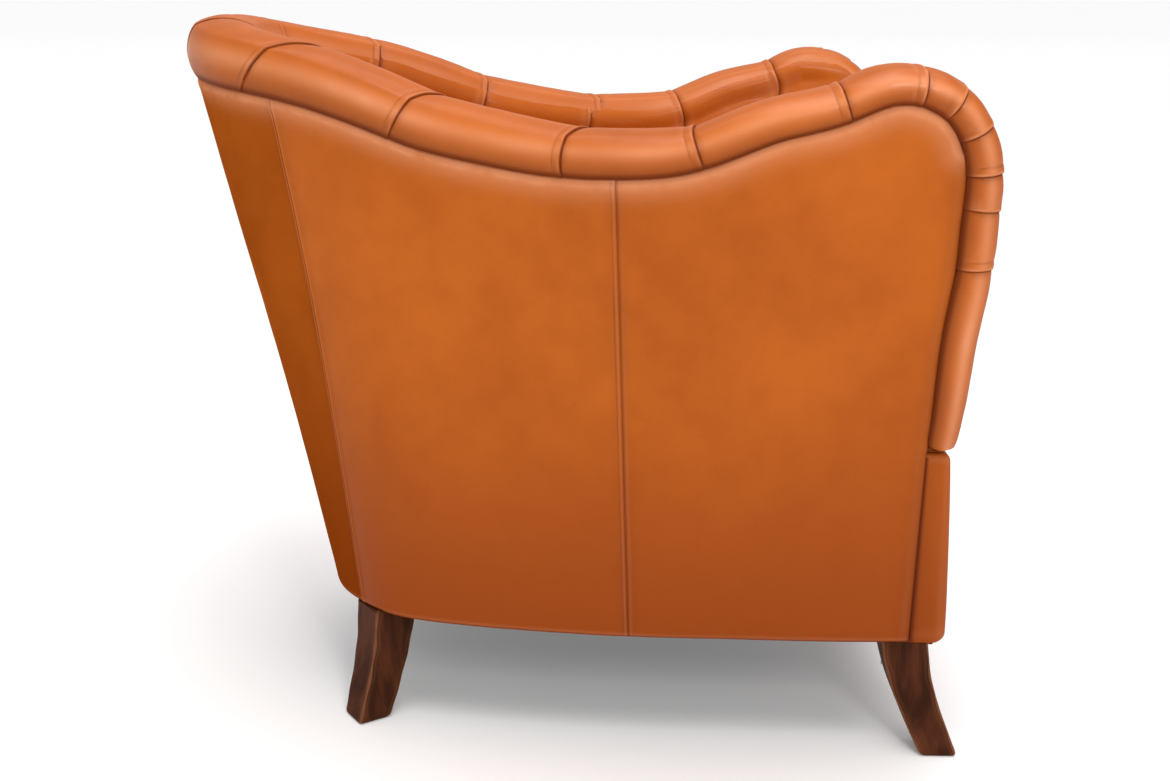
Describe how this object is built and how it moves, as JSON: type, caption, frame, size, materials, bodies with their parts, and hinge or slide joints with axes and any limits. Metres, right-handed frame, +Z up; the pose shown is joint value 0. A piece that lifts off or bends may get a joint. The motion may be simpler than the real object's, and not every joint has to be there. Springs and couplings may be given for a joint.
{
  "type": "tufted leather armchair",
  "caption": "Tub armchair in tan leather with a swept pleated roll, button-tufted inside, loose seat cushion and dark sabre legs.",
  "frame": {"origin": "on the floor under the middle of the chair's bounding box", "axes": "+Z up, the sitter faces -Y, +X to the sitter's left"},
  "size_m": [0.819, 0.9169, 0.822],
  "materials": {
    "shell_leather": "satin hand-antiqued aniline leather",
    "roll_leather": "satin hand-antiqued aniline leather",
    "tufted_leather": "satin hand-antiqued aniline leather",
    "cushion_leather": "satin hand-antiqued aniline leather",
    "button_leather": "satin",
    "leg_wood": "dark walnut stain, satin lacquer",
    "frame_wood": "raw",
    "foam": "matte",
    "webbing": "matte",
    "lining": "matte",
    "spring_steel": "oiled",
    "zinc_steel": "zinc plated"
  },
  "bodies": {
    "frame": {"arm_roll_left": "roll_leather", "arm_roll_right": "roll_leather", "back_roll": "roll_leather", "outside_front_panel_left": "shell_leather", "outside_front_panel_right": "shell_leather", "outside_rear_panel_left": "shell_leather", "outside_rear_panel_right": "shell_leather", "outside_back_panel": "shell_leather", "front_border": "shell_leather", "inside_arm_pad_left": "tufted_leather", "inside_arm_pad_right": "tufted_leather", "inside_back_pad": "tufted_leather", "tufting_buttons": "button_leather", "seat_deck": "foam", "front_edge_roll": "foam", "dust_cover": "lining", "back_webbing": "webbing", "sinuous_springs": "spring_steel", "spring_clips": "zinc_steel", "leg_hanger_bolts": "zinc_steel", "leg_tee_nuts": "zinc_steel", "front_seat_rail": "frame_wood", "front_arm_post_left": "frame_wood", "front_arm_post_right": "frame_wood", "side_seat_rail_left": "frame_wood", "side_seat_rail_right": "frame_wood", "rear_corner_rail_left": "frame_wood", "rear_corner_rail_right": "frame_wood", "rear_seat_rail": "frame_wood", "back_upright_left": "frame_wood", "back_upright_right": "frame_wood", "arm_top_rail_left": "frame_wood", "arm_top_rail_right": "frame_wood", "back_top_rail": "frame_wood", "back_center_slat": "frame_wood", "front_corner_blocks": "frame_wood", "rear_corner_blocks": "frame_wood", "leg_front_left": "leg_wood", "leg_front_right": "leg_wood", "leg_rear_left": "leg_wood", "leg_rear_right": "leg_wood"},
    "seat_cushion": {"seat_cushion_cover": "cushion_leather", "seat_cushion_core": "foam"}
  },
  "joints": [
    {"name": "cushion_lift", "type": "slide", "parent": "frame", "child": "seat_cushion", "axis": [0, 0, 1], "range_m": [0, 0.48]}
  ]
}
